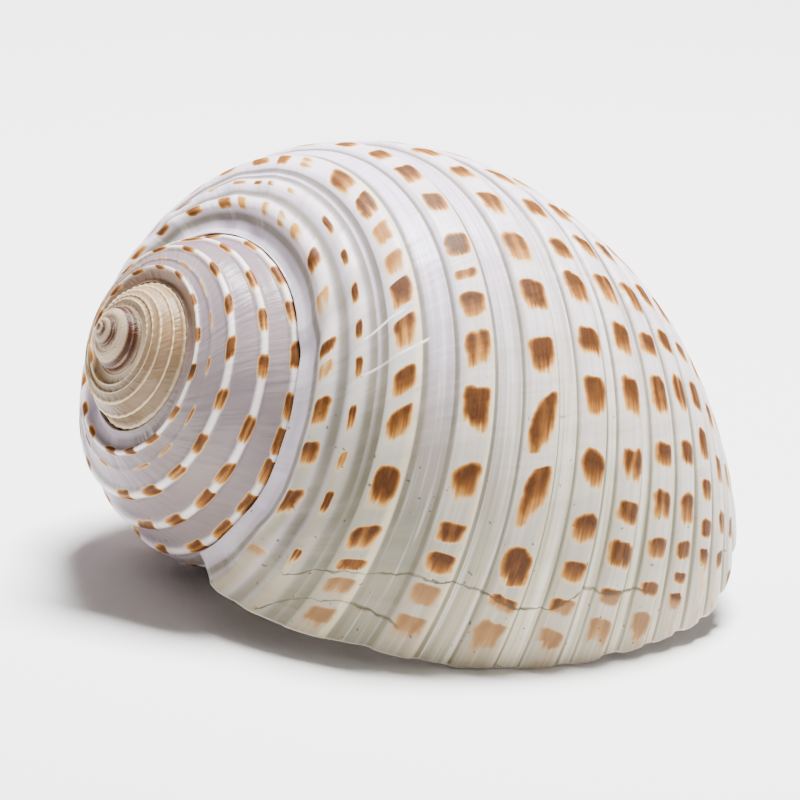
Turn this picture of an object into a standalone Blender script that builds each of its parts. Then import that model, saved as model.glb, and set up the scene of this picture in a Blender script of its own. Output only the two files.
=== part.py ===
"""Spotted tun shell: one thin spiral shell, lying on its lip and its belly.

Shell frame, in millimetres: the tip of the spire is at the origin and the coiling
axis runs down -Z to the front end. Over one turn back from the lip every spiral
line shrinks by GROWTH, so one half section, drawn at full size, gives the whole
shell when it is turned about the axis and scaled.

Surface grid: a row is a spiral line that starts at the lip and runs back to the
tip. A column is a former lip, so it is slanted as the growth lines are.
"""
import math

import bmesh
import bpy
import numpy as np
from mathutils import Euler, Matrix, Vector

GROWTH = 2.16                 # size ratio from one turn to the next
COLUMNS_PER_TURN = 36
SPIRE_COLUMNS = 150           # from the lip to the dome of the tip
HOLLOW_COLUMNS = 22           # from the lip to the closed end of the hollow
PLAIN_SPIRE_COLUMN = 66       # the spire's small whorls have fewer rows from here on
TIP_SINK = 1.9                # the first whorls lie this much lower than a pure spiral
SINK_TURNS = (1.8, 3.3)       # turns back from the lip where that begins and is complete

# Crowns of the spiral ribs in the half section: radius, depth below the tip, width.
RIBS = [
    (28.7, 23.5, 2.4),
    (33.0, 26.3, 1.4),
    (38.4, 30.7, 4.2),
    (44.1, 40.0, 4.6),
    (47.4, 50.0, 4.6),
    (48.7, 58.8, 4.0),
    (48.4, 66.3, 3.8),
    (47.0, 73.5, 3.4),
    (45.3, 79.4, 3.0),
    (43.4, 84.6, 2.8),
    (40.9, 89.3, 2.6),
    (37.8, 93.5, 2.6),
    (34.3, 97.3, 2.6),
    (30.5, 100.7, 2.6),
]
RIB_HEIGHT = 0.6
RIB_FLANK = 0.9               # width of each sloping side of a rib
LAST_BARE_RIB = 4             # the next whorl is welded on just past this rib

SUTURE_EDGE = (23.2, 23.1)    # upper edge of a whorl, a little proud of the one before
SHELF = 2.0                   # a row on the smooth shelf, this far from that edge
FRONT = [(25.8, 103.8), (20.8, 105.8), (15.8, 106.2), (11.0, 103.8)]
FUNNEL = [(7.6, 97.0), (5.6, 84.0), (5.0, 66.0)]

LIP_WALL = 1.7                # wall of the outer lip, at full size
FRONT_WALL = 3.4
PILLAR_WALL = 4.6             # wall of the pillar around the axis
HOLLOW_END_TURN = 0.04        # the hollow's end comes to a blunt point this far on
TIP_DOME = 0.6                # height of the dome on the tip
MILLIMETRE = 0.001

# Turns from the zero mark to the lip, at the suture, the ribs and the front end.
LIP_AT_SUTURE = 0.030
LIP_AT_SHOULDER = 0.098       # third rib
LIP_SLANT = 4                 # columns from the suture to the foot of the next whorl
LIP_AT_BELLY = 0.170          # eighth rib
LIP_AT_BASE = 0.196           # eleventh rib
LIP_AT_NOTCH = 0.268          # the notch for the siphon, at the front end
LIP_AT_PILLAR = 0.240

REST_ANGLES = (31.00, 63.86, -146.20)     # degrees about X, Y and Z, from the shell frame to rest


def smooth(stations, values, at):
    """Cubic through the values, with slopes taken from both neighbours."""
    x = np.asarray(stations, float)
    y = np.asarray(values, float)
    step = np.diff(x)
    slope = np.diff(y) / step
    middle = (slope[:-1] * step[1:] + slope[1:] * step[:-1]) / (step[1:] + step[:-1])
    tangent = np.concatenate([slope[:1], middle, slope[-1:]])
    i = np.clip(np.searchsorted(x, at, side="right") - 1, 0, len(x) - 2)
    u = (at - x[i]) / step[i]
    start = (1 + 2 * u) * (1 - u) ** 2 * y[i] + u * (1 - u) ** 2 * step[i] * tangent[i]
    end = u * u * (3 - 2 * u) * y[i + 1] + u * u * (u - 1) * step[i] * tangent[i + 1]
    return start + end


class Section:
    """The half section at full size, from the suture edge to the top of the funnel."""

    def __init__(self):
        funnel_end = (FRONT[-1][0] / GROWTH, FRONT[-1][1] / GROWTH)
        crowns = [(radius, depth) for radius, depth, width in RIBS]
        self.points = np.array([SUTURE_EDGE] + crowns + FRONT + FUNNEL + [funnel_end])
        gaps = np.hypot(*np.diff(self.points, axis=0).T)
        self.stations = np.concatenate([[0.0], np.cumsum(gaps)])
        self.rib_stations = self.stations[1:1 + len(RIBS)]
        self.front_stations = self.stations[1 + len(RIBS):1 + len(RIBS) + len(FRONT)]
        self.end_station = self.stations[-1]
        self.foot_station = (self.rib_stations[LAST_BARE_RIB]
                             + RIBS[LAST_BARE_RIB][2] / 2 + RIB_FLANK)

    def crown(self, at):
        """Radius and depth on the curve through the rib crowns."""
        at = np.asarray(at, float)
        radius = smooth(self.stations, self.points[:, 0], at)
        depth = smooth(self.stations, self.points[:, 1], at)
        return np.stack([radius, depth], -1)

    def outward(self, at):
        """Unit normal of that curve, away from the shell's wall."""
        at = np.asarray(at, float)
        reach = 0.05
        along = (self.crown(np.minimum(at + reach, self.end_station))
                 - self.crown(np.maximum(at - reach, 0.0)))
        normal = np.stack([along[..., 1], -along[..., 0]], -1)
        return normal / np.linalg.norm(normal, axis=-1, keepdims=True)

    def wall(self, at):
        """Thickness of the wall, thin at the lip and thick in the pillar."""
        stations = [0.0, self.rib_stations[10], self.front_stations[1],
                    self.front_stations[3], self.end_station]
        return np.interp(at, stations, [LIP_WALL, LIP_WALL, FRONT_WALL, PILLAR_WALL, PILLAR_WALL])

    def lip_turn(self, at):
        """Turns from the zero mark to the lip."""
        ribs = self.rib_stations
        front = self.front_stations
        stations = [0.0, ribs[2], self.foot_station, ribs[7], ribs[10], front[1], front[2], front[3]]
        foot_turn = LIP_AT_SUTURE + LIP_SLANT / COLUMNS_PER_TURN
        turns = [LIP_AT_SUTURE, LIP_AT_SHOULDER, foot_turn, LIP_AT_BELLY, LIP_AT_BASE,
                 LIP_AT_NOTCH, LIP_AT_PILLAR, LIP_AT_PILLAR]
        return smooth(stations, turns, np.minimum(at, front[3]))


def outer_rows(section):
    """Stations and heights of the outer rows, with four rows to each rib."""
    stations = [0.0, SHELF]
    heights = [0.0, -RIB_HEIGHT]
    for station, (radius, depth, width) in zip(section.rib_stations, RIBS):
        half = width / 2
        stations += [station - half - RIB_FLANK, station - half,
                     station + half, station + half + RIB_FLANK]
        heights += [-RIB_HEIGHT, 0.0, 0.0, -RIB_HEIGHT]
    rest = section.stations[1 + len(RIBS):]
    stations += list(rest)
    heights += [0.0] * len(rest)
    return np.array(stations), np.array(heights)


def sink(turn):
    """How far the tip's whorls lie below a pure spiral."""
    u = np.clip((turn - SINK_TURNS[0]) / (SINK_TURNS[1] - SINK_TURNS[0]), 0, 1)
    return TIP_SINK * u * u * (3 - 2 * u)


def place(half_section, turn, older):
    """Points in the shell frame: the half section turned, scaled and sunk.

    A point sinks as one that is older by the given number of turns, so that a
    whorl's foot sinks with the whorl that it stands on."""
    size = GROWTH ** (-turn)
    angle = 2 * math.pi * turn
    radius = half_section[..., 0] * size
    height = -half_section[..., 1] * size - sink(turn + older)
    return np.stack([radius * np.cos(angle), radius * np.sin(angle), height], -1)


class Grid:
    """The shell's vertices, by row and column, and its faces."""

    def __init__(self):
        self.section = Section()
        self.find_rows()
        self.find_outer_points()
        self.find_inner_points()
        self.vertices = []
        self.known = {}
        self.faces = []

    def find_rows(self):
        """Row numbers: row 0 is the foot on the whorl before, row 1 its upper edge."""
        self.stations, self.heights = outer_rows(self.section)
        self.rows = len(self.stations) + 1
        self.foot = self.crown_row(LAST_BARE_RIB) + 2
        self.foot_column = COLUMNS_PER_TURN - LIP_SLANT
        self.front = self.crown_row(len(RIBS) - 1) + 3
        self.pillar = self.front + len(FRONT) - 1
        self.last = self.rows - 1

    def crown_row(self, rib):
        """Row where the rib's crown begins."""
        return 4 + 4 * rib

    def find_outer_points(self):
        """Outer surface: every row at every column."""
        curve = self.section.crown(self.stations)
        curve = curve + self.section.outward(self.stations) * self.heights[:, None]
        foot = curve[self.foot - 1] / GROWTH
        curve = np.vstack([foot, curve])
        curve[self.last] = curve[self.pillar] / GROWTH
        start = self.section.lip_turn(np.concatenate([[0.0], self.stations]))
        column = np.arange(SPIRE_COLUMNS + COLUMNS_PER_TURN + 1)
        turn = start[:, None] + column[None, :] / COLUMNS_PER_TURN
        older = np.clip(1 - np.arange(self.rows) / self.foot, 0, 1)
        self.outer = place(curve[:, None, :], turn, older[:, None])

    def find_inner_points(self):
        """Wall of the hollow: one row below each rib, and rows along the pillar."""
        ribs = [0] + list(range(2, 11)) + [12, 13]
        self.inner_rows = [self.crown_row(rib) for rib in ribs] + list(range(self.front, self.last))
        stations = self.stations[np.array(self.inner_rows) - 1]
        depth = self.section.wall(stations)
        depth = depth + np.where(np.array(self.inner_rows) < self.front, RIB_HEIGHT, 0.0)
        curve = self.section.crown(stations) - self.section.outward(stations) * depth[:, None]
        turn = (self.section.lip_turn(stations)[:, None]
                + np.arange(HOLLOW_COLUMNS + 1)[None, :] / COLUMNS_PER_TURN)
        self.inner = place(curve[:, None, :], turn, 0.0)

    def vertex(self, key, point):
        """Number of the vertex with this key, added at the point if it is new."""
        if key not in self.known:
            self.known[key] = len(self.vertices)
            self.vertices.append(tuple(point))
        return self.known[key]

    def out(self, row, column):
        """Outer vertex. The two ends of a column lie on the whorl before."""
        if row == 0:
            row = self.foot
            column += self.foot_column
        elif row == self.last:
            row = self.pillar
            column += COLUMNS_PER_TURN
        return self.vertex(("outer", row, column), self.outer[row, column])

    def inn(self, number, column):
        """Inner vertex. Both ends of an inner column lie on the whorl before."""
        if number == 0:
            return self.out(self.foot + 1, column + self.foot_column)
        if number == len(self.inner_rows) + 1:
            return self.out(self.pillar - 1, column + COLUMNS_PER_TURN)
        return self.vertex(("inner", number, column), self.inner[number - 1, column])

    def cover(self, rows, start, end, fine_start=False):
        """Outer faces between the given rows, from one column to another.

        With fine_start, the first faces also take in the rows left out."""
        for low, high in zip(rows[:-1], rows[1:]):
            for column in range(start, end):
                fine = fine_start and column == start
                edge = range(low, high + 1) if fine else (low, high)
                face = [self.out(row, column) for row in edge]
                self.faces.append(face + [self.out(high, column + 1), self.out(low, column + 1)])

    def close(self, loop, centre):
        """Faces from a closed loop to one point."""
        middle = self.vertex(("centre", len(self.faces)), centre)
        for first, second in zip(loop, loop[1:] + loop[:1]):
            self.faces.append([first, second, middle])

    def mean_of(self, loop):
        """Mean place of the loop's vertices."""
        return np.mean([self.vertices[number] for number in loop], axis=0)

    def add_outside(self):
        """Last whorl with its base and funnel, and the bare strip of the spire."""
        self.cover(range(self.foot + 2), 0, self.foot_column)
        self.cover(range(self.foot + 1), self.foot_column, PLAIN_SPIRE_COLUMN)
        self.cover(range(self.foot + 1, self.pillar), 0, self.foot_column)
        self.cover(range(self.pillar - 1, self.rows), 0, COLUMNS_PER_TURN)

    def add_spire_end(self):
        """The small whorls, and the dome that closes the tip."""
        rows = [0, 1] + [self.crown_row(rib) for rib in (0, 2, 3, 4)] + [self.foot]
        self.cover(rows, PLAIN_SPIRE_COLUMN, SPIRE_COLUMNS, fine_start=True)
        loop = [self.out(row, SPIRE_COLUMNS) for row in rows]
        loop += [self.out(0, column)
                 for column in range(SPIRE_COLUMNS - self.foot_column + 1, SPIRE_COLUMNS)]
        self.close(loop, self.mean_of(loop) * (0, 0, 1) + (0, 0, TIP_DOME))

    def add_funnel_end(self):
        """The closed top of the narrow funnel around the axis."""
        loop = [self.out(self.last, column) for column in range(COLUMNS_PER_TURN + 1)]
        loop += [self.out(row, COLUMNS_PER_TURN)
                 for row in range(self.last - 1, self.pillar, -1)]
        self.close(loop, self.mean_of(loop) * (0, 0, 1))

    def add_hollow(self):
        """Rim of the lip, wall of the hollow, the belly in it, and its closed end."""
        belly = [self.foot + 1] + [self.crown_row(rib) for rib in range(LAST_BARE_RIB + 1, len(RIBS))]
        belly += [self.front, self.pillar - 1]
        end = self.foot_column + HOLLOW_COLUMNS
        self.cover(belly, self.foot_column, end, fine_start=True)
        above = [0] + self.inner_rows + [self.last]
        for number, (low, high) in enumerate(zip(above[:-1], above[1:])):
            rim = [self.out(row, 0) for row in range(low, high + 1)]
            self.faces.append(rim[::-1] + [self.inn(number, 0), self.inn(number + 1, 0)])
            for column in range(HOLLOW_COLUMNS):
                self.faces.append([self.inn(number, column), self.inn(number, column + 1),
                                   self.inn(number + 1, column + 1), self.inn(number + 1, column)])
        loop = [self.inn(number, HOLLOW_COLUMNS) for number in range(len(above))]
        loop += [self.out(self.pillar - 1, column)
                 for column in range(COLUMNS_PER_TURN + HOLLOW_COLUMNS - 1, end, -1)]
        loop += [self.out(row, end) for row in belly[:0:-1]]
        turned = Matrix.Rotation(2 * math.pi * HOLLOW_END_TURN, 3, "Z")
        self.close(loop, turned @ Vector(self.mean_of(loop)) * GROWTH ** -HOLLOW_END_TURN)


def rest_matrix(points):
    """From the shell frame to rest: turned, on the floor, with the box centred."""
    angles = [math.radians(angle) for angle in REST_ANGLES]
    turn = Euler(angles).to_matrix()
    turned = points @ np.array(turn).T
    low, high = turned.min(axis=0), turned.max(axis=0)
    shift = Vector((-(low[0] + high[0]) / 2, -(low[1] + high[1]) / 2, -low[2]))
    return Matrix.Translation(shift) @ turn.to_4x4()


def shell_material():
    """Cream white porcelain-like shell."""
    material = bpy.data.materials.new("shell")
    material.use_nodes = True
    surface = material.node_tree.nodes["Principled BSDF"]
    surface.inputs["Base Color"].default_value = (0.74, 0.70, 0.66, 1.0)
    surface.inputs["Roughness"].default_value = 0.35
    surface.inputs["Metallic"].default_value = 0.0
    return material


def build_shell(collection):
    """One closed mesh of the whole shell, at rest."""
    grid = Grid()
    grid.add_outside()
    grid.add_spire_end()
    grid.add_funnel_end()
    grid.add_hollow()
    points = np.array(grid.vertices) * MILLIMETRE
    mesh = bpy.data.meshes.new("shell")
    mesh.from_pydata(points.tolist(), [], grid.faces)
    work = bmesh.new()
    work.from_mesh(mesh)
    bmesh.ops.triangulate(work, faces=work.faces)
    bmesh.ops.recalc_face_normals(work, faces=work.faces)
    work.to_mesh(mesh)
    work.free()
    mesh.shade_smooth()
    mesh.set_sharp_from_angle(angle=math.radians(50))
    mesh.materials.append(shell_material())
    shell = bpy.data.objects.new("shell", mesh)
    shell.matrix_world = rest_matrix(points)
    collection.objects.link(shell)
    return shell


def main():
    for thing in list(bpy.data.objects):
        bpy.data.objects.remove(thing, do_unlink=True)
    collection = bpy.data.collections.new("tun_shell")
    bpy.context.scene.collection.children.link(collection)
    build_shell(collection)


if __name__ == "__main__":
    main()
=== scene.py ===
"""Spotted tun shell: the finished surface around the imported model.

The shell is one surface of two parameters. A station runs along the half section in
millimetres at full size, and a turn counts back from the lip. Over one turn back the
section shrinks by GROWTH and turns once about the axis, so every spiral line is a
logarithmic spiral, and every column of the grid is a former lip.
"""

import functools
import math

import bpy
import numpy as np
from mathutils import Euler, Matrix, Vector


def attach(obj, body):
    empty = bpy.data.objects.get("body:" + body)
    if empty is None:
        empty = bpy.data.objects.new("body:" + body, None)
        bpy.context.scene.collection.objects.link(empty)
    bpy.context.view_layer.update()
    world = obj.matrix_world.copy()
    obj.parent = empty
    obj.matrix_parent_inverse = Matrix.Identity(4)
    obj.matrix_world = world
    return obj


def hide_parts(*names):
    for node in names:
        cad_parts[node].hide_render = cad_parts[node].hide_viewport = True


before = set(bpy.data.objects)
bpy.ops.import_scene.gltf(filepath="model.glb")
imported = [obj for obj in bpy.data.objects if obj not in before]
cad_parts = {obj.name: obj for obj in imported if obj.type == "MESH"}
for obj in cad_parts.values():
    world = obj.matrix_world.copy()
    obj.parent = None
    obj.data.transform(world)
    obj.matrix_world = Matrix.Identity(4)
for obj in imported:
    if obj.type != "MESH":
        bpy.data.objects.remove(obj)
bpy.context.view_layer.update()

bl_info = {
    "name": "Spotted tun shell",
    "version": (1, 0, 0),
    "blender": (4, 5, 0),
    "location": "3D View > Sidebar > Tun shell",
    "description": "Grows a spotted tun shell and sets a plain stage for it",
    "category": "Add Mesh",
}

MILLIMETRE = 0.001
GROWTH = 2.16                 # size ratio from one turn to the next
TIP_SINK = 1.9                # the first whorls lie this much lower than a pure spiral
SINK_TURNS = (1.8, 3.3)       # turns back where that begins and is complete
BUD_SINK = 0.20               # the bud at the very tip is blunter still
BUD_TURNS = (3.5, 5.2)

# Crowns of the spiral ribs in the half section: radius, depth below the tip, width.
RIBS = {
    "E": (28.7, 23.5, 2.4),
    "F": (33.0, 26.3, 1.4),
    "G": (38.4, 30.7, 4.2),
    "H": (44.1, 40.0, 4.6),
    "I": (47.4, 50.0, 4.6),
    "J": (48.7, 58.8, 4.0),
    "K": (48.4, 66.3, 3.8),
    "L": (47.0, 73.5, 3.4),
    "M": (45.3, 79.4, 3.0),
    "N": (43.4, 84.6, 2.8),
    "O": (40.9, 89.3, 2.6),
    "P": (37.8, 93.5, 2.6),
    "Q": (34.3, 97.3, 2.6),
    "R": (30.5, 100.7, 2.6),
}
RIB_HEIGHT = 0.6
RIDGE_HEIGHT = 0.9            # the round ridges E and F
BELLY_RIB_HEIGHT = 1.05       # the ribs of the belly stand higher
SHOULDER_STATIONS = (11, 14)  # from the ridges' height to the shoulder's
BELLY_STATIONS = (20, 30)     # and from the shoulder's height to the belly's
RIB_FLANK = 0.9               # width of each sloping side of a rib
CORD_HEIGHT = 1.25            # the older whorls' ribs are rounded cords, taller for their size
CORD_WIDTH = 0.68             # and narrower, as a part of a rib with its flanks
CORD_TURNS = (0.72, 0.98)     # turns back over which ribs become cords
WEAK_CORD = 0.25              # height of cord F on the whorl before the last, as a part of the others
WEAK_TURNS = (1.6, 1.9)       # turns back over which it becomes as high as they are
BEAD_TURNS = (1.8, 2.1)       # turns back over which the cords become narrower and beaded
BEAD_HEIGHT = 0.38            # as a part of a cord's height
BEADS_PER_TURN = 38
BEAD_SLANT = 0.35             # phase of the beads, in radians to a millimetre of the section
FOOT_DEPTH = 0.35             # part of a groove's depth that is left at the foot of the next whorl
FOOT_TURNS = (0.82, 0.88)
BARE_TURNS = (2.9, 3.5)       # turns back over which the cords fade out towards the tip
BARE_DEPTH = 0.35             # the bare whorls lie this much lower
LAST_BARE_RIB = "I"           # the next whorl is welded on just past this rib

SUTURE_EDGE = (23.2, 23.1)    # upper edge of a whorl, a little proud of the one before
EDGE_CREST = (0.40, 0.55)     # how far that edge rolls over, towards the axis and the tip
FLUSH_EDGE = (0.45, -0.15)    # over the top the edge lies this much closer to the whorl before
FLUSH_TURNS = ((0.20, 0.42), (0.82, 0.95))     # turns back where that begins and ends
LOW_EDGE = (0.35, -1.15)      # farther back it lies lower, nearly at its foot
LOW_TURNS = (0.92, 1.20)
TIP_EDGE = (0.75, 0.10)       # and on the first whorls closer again
TIP_TURNS = (1.80, 2.10)
FOOT_BULGE = 1.1              # and the whorl before is this much fuller under the edge
FRONT = [(25.8, 103.8), (20.8, 105.8), (15.8, 106.2), (11.0, 103.8)]
FUNNEL = [(7.6, 97.0), (5.6, 84.0), (5.0, 66.0)]

# Fine riblets in the grooves: station, height, width.
RIBLETS = [
    (21.6, 0.08, 0.60), (23.0, 0.22, 0.60), (24.6, 0.14, 0.55), (32.4, 0.26, 0.60),
    (33.6, 0.34, 0.65), (34.9, 0.26, 0.60), (42.8, 0.34, 0.65), (44.5, 0.24, 0.60),
    (51.3, 0.28, 0.55), (52.4, 0.20, 0.50), (58.9, 0.26, 0.60), (66.2, 0.20, 0.50),
    (71.7, 0.18, 0.50), (77.2, 0.14, 0.45),
]

LIP_WALL = 1.7
FRONT_WALL = 3.4
PILLAR_WALL = 4.6
LIP_THINNING = 0.55           # part of the wall that is left at the lip's rim
RIM_REACH = 0.45              # how far the rounded rim stands out, as a part of that wall
HOLLOW_END_TURN = 0.04        # the hollow's last point lies this much farther back

# Turns from the zero mark to the lip, at the suture, the ribs and the front end.
LIP_AT_SUTURE = 0.030
LIP_AT_SHOULDER = 0.098
LIP_AT_FOOT = LIP_AT_SUTURE + 1 / 9
LIP_AT_BELLY = 0.170
LIP_AT_BASE = 0.196
LIP_AT_NOTCH = 0.268
LIP_AT_PILLAR = 0.240

# The grid: columns are former lips, rows are spiral lines.
COLUMNS_PER_TURN = 234
SLANT_COLUMNS = 26            # from the suture to the foot of the next whorl, a ninth of a turn
HOLLOW_COLUMNS = 143
SPIRE_TURNS = 5.6
THINNING_TURNS = (1.75, 2.6, 3.6)         # from each of these back every second row is left out
EDGE_ROWS = 4                 # rows that roll over the upper edge of a whorl
WHORL_ROWS = 76               # from that edge to the foot of the next whorl
BASE_ROWS = 96                # from there to the pillar
FUNNEL_ROWS = 16
ROW_CROWDING = 3.0            # how much closer the rows lie on the flanks of ribs and cords
RIM_ROWS = 4                  # steps around the rounded rim of the lip
RIM_COLUMNS = 8               # columns behind the rim that keep every row on the inside
INSIDE_START = 4.3            # station where the wall of the hollow begins

REST_ANGLES = (31.00, 63.86, -146.20)     # degrees about X, Y and Z, from the shell frame
REST_SHIFT = (-42.468, 6.652, 35.11)      # millimetres

SPOT_SEED = 500
SPOTS_PER_RIB = 200           # more than any rib has, so each spot's phase is its own

# Brown spots on each rib, as stretches of the turn. A third value is a spot's strength, and a
# fourth its skew: how far its older end leans to the side farther from the tip.
SPOTS = {
    "E": [(.097, .106, .5), (.139, .160), (.179, .199), (.211, .233), (.248, .262, .35), (.266, .280),
          (.301, .325, .45), (.347, .366), (.384, .406, .35), (.413, .426, .35), (.438, .450, .4),
          (.474, .487, .45), (.496, .516, .6), (.536, .557), (.583, .603)],
    "F": [(.122, .133), (.160, .175), (.190, .203, .5), (.218, .235), (.252, .269), (.281, .295),
          (.311, .326), (.343, .358), (.377, .396), (.436, .448, .3), (.465, .474, .6), (.480, .491, .7),
          (.500, .517, .6), (.533, .547, .4)],
    "G": [(.106, .118), (.126, .140), (.142, .152, .8), (.156, .172), (.182, .208), (.224, .243),
          (.250, .267), (.277, .301), (.305, .326), (.327, .346, .6), (.352, .372, .5), (.378, .402),
          (.407, .436), (.457, .472, .45), (.482, .496, .7), (.504, .522, .8), (.537, .556, .7)],
    "H": [(.132, .146), (.149, .163), (.168, .180), (.184, .195), (.206, .225), (.242, .266),
          (.275, .296), (.303, .320), (.327, .334, .7), (.342, .358), (.375, .394),
          (.405, .426), (.437, .453), (.470, .485, .9)],
    "I": [(.146, .161), (.165, .174), (.178, .197), (.207, .236, 1.0, 0.8), (.240, .270, 1.0, 0.8),
          (.281, .300), (.314, .333), (.343, .363, .85), (.378, .398, .85), (.410, .427, .85),
          (.441, .459, .8)],
    "J": [(.160, .168), (.175, .183), (.191, .201), (.208, .222), (.234, .250), (.267, .287),
          (.297, .313), (.325, .345), (.353, .365), (.382, .400, .85), (.414, .432, .8)],
    "K": [(.167, .180), (.186, .194), (.203, .217), (.223, .235), (.243, .260), (.273, .295),
          (.305, .323), (.333, .353), (.362, .379), (.391, .408, .85)],
    "L": [(.177, .188), (.195, .202), (.213, .223), (.231, .245), (.256, .268), (.282, .303),
          (.312, .327), (.338, .357), (.372, .390)],
    "M": [(.192, .201), (.204, .211), (.216, .226), (.233, .249), (.263, .275), (.292, .311),
          (.323, .337), (.352, .370)],
    "N": [(.216, .226), (.230, .241), (.249, .261), (.270, .288), (.298, .314), (.326, .340)],
    "O": [(.218, .228), (.236, .247), (.263, .278), (.293, .309)],
    "P": [(.207, .218), (.236, .248)],
}
# Middles of the spots on the whorl before, where the photo's near side shows them.
OLDER_SPOTS = {
    "E": [.959, 1.0125, 1.0675, 1.131, 1.2035, 1.269, 1.336, 1.415, 1.48],
    "F": [1.0265, 1.08, 1.146, 1.2265, 1.2975],
    "G": [.975, 1.025, 1.079, 1.1285, 1.1915, 1.2575, 1.319, 1.385, 1.455],
    "H": [.979, 1.029, 1.08, 1.1185, 1.176, 1.2465, 1.3025, 1.361, 1.43],
    "I": [1.02, 1.065, 1.1075, 1.1465, 1.18, 1.214, 1.269, 1.316, 1.3675],
}
OLDER_SPOT_LENGTH = 0.030
SPOT_WIDTHS = {"E": 2.8, "F": 1.1, "G": 3.3, "H": 3.7, "I": 4.0, "J": 3.8, "K": 3.9, "L": 3.7,
               "M": 2.9, "N": 2.5, "O": 2.2, "P": 2.0, "Q": 2.0, "R": 1.8}
OLDER_SPOT_WIDTH = 0.98       # spots on the older whorls, as a part of these widths
SPOTLESS_TURNS = (1.78, 1.98)     # turns back over which the spots all but fade out
SPOT_PITCH = 0.025            # turns from spot to spot at the zero mark, growing with GROWTH
SPOT_PLACES = (0.42, 0.58)    # seeded middle and half length of a new spot, in pitches
SPOT_REACHES = (0.20, 0.31)
SPOT_STRENGTHS = (0.65, 1.0)
BASE_SPOTS_TURN = 0.26        # where the spots begin on the ribs by the notch
LAST_SPOT_TURN = 3.4

# Cracks where the lip broke and was mended, as (turn, station).
LONG_CRACK = [(.112, 10.6), (.128, 13.4), (.136, 15.4), (.143, 18.0), (.153, 21.5), (.159, 24.0),
              (.163, 27.0), (.168, 31.0), (.170, 37.5), (.170, 41.0), (.175, 46.0), (.190, 50.7),
              (.192, 55.0), (.198, 62.8)]
SHORT_CRACK = [(.077, 10.9), (.103, 13.0), (.118, 16.3), (.128, 19.0), (.133, 23.0), (.135, 27.0)]
# Chalky scratches, in the same way.
SCRATCHES = [[(.281, 11.0), (.296, 14.7), (.306, 18.4)], [(.257, 11.3), (.273, 16.0), (.289, 21.7)]]
CRACK_STEP = 0.16             # the mended zone by the lip lies this much lower
MENDED_STATIONS = ((9.0, 12.0), (60.0, 66.0))     # where that zone begins and ends
LIP_CHIPS = 0.0010            # depth of the small bites out of the lip's rim, in turns
CRACK_TURNS = 0.5             # cracks lie nearer to the lip than this
FAR = 50.0                    # millimetres from every crack, for points that have none

# Seeded waves: size, spacing and seed. Along the growth time sizes are millimetres.
EDGE_WAVES = [(0.45, 0.10, 11), (0.35, 0.034, 12)]
RIDGE_WAVES = [(0.050, 0.021, 31), (0.035, 0.009, 32), (0.060, 0.060, 33)]
RIDGE_CHANGE = [(0.6, 9.0, 34)]           # changes the height of the ridges along the section
RIDGELESS_TURNS = (2.9, 3.4)  # turns back over which the ridges fade out
SHELF_WAVES = [(0.30, 0.022, 35)]
SHELF_STATIONS = (12, 19)     # stations and turns over which the shelf's waves fade out
SHELF_TURNS = (0.62, 0.80)
EDGE_WAVE_AIM = (0.35, -0.6)              # way of the upper edge's waves, out and down

CAMERA_AZIMUTH = -32.28
CAMERA_ELEVATION = 17.36
CAMERA_ROLL = 4.78
CAMERA_DISTANCE = 2.228
CAMERA_LENS = 845.0
CAMERA_AIM = (-0.0110, -0.0154, 0.02903)
KEY_SIZE, KEY_PLACE = 0.22, (0.10, 0.07, 0.60)
FILL_SIZE, FILL_PLACE = 0.5, (0.33, -0.80, 0.30)
FILL_PART = 0.07              # power of the fill light, as a part of the key light's
SKY_STRENGTH = 0.16


def linear(code):
    """An sRGB hex colour as linear red, green and blue, with alpha 1."""
    channels = [int(code[i:i + 2], 16) / 255 for i in (1, 3, 5)]
    return tuple([c / 12.92 if c < 0.04045 else ((c + 0.055) / 1.055) ** 2.4 for c in channels] + [1.0])


def step(low, high, at):
    """0 below low, 1 above high, and 3u^2 - 2u^3 between them."""
    u = np.clip((at - low) / (high - low), 0, 1)
    return u * u * (3 - 2 * u)


def smooth(stations, values, at):
    """Cubic through the values, with slopes taken from both neighbours."""
    x = np.asarray(stations, float)
    y = np.asarray(values, float)
    gap = np.diff(x)
    slope = np.diff(y) / gap
    middle = (slope[:-1] * gap[1:] + slope[1:] * gap[:-1]) / (gap[1:] + gap[:-1])
    tangent = np.concatenate([slope[:1], middle, slope[-1:]])
    i = np.clip(np.searchsorted(x, at, side="right") - 1, 0, len(x) - 2)
    u = (at - x[i]) / gap[i]
    start = (1 + 2 * u) * (1 - u) ** 2 * y[i] + u * (1 - u) ** 2 * gap[i] * tangent[i]
    end = u * u * (3 - 2 * u) * y[i + 1] + u * u * (u - 1) * gap[i] * tangent[i + 1]
    return start + end


def wander(at, spacing, seed):
    """Seeded values from -1 to 1, one every spacing, with smooth steps between them."""
    at = np.asarray(at, float) / spacing
    whole = np.floor(at)
    first = int(whole.min())
    values = np.random.default_rng(seed).uniform(-1, 1, int(whole.max()) - first + 2)
    i = (whole - first).astype(int)
    u = at - whole
    u = u * u * (3 - 2 * u)
    return values[i] * (1 - u) + values[i + 1] * u


def waves(table, at):
    """Sum of seeded waves, each with a size, a spacing and a seed."""
    return sum(size * wander(at, spacing, seed) for size, spacing, seed in table)


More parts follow.
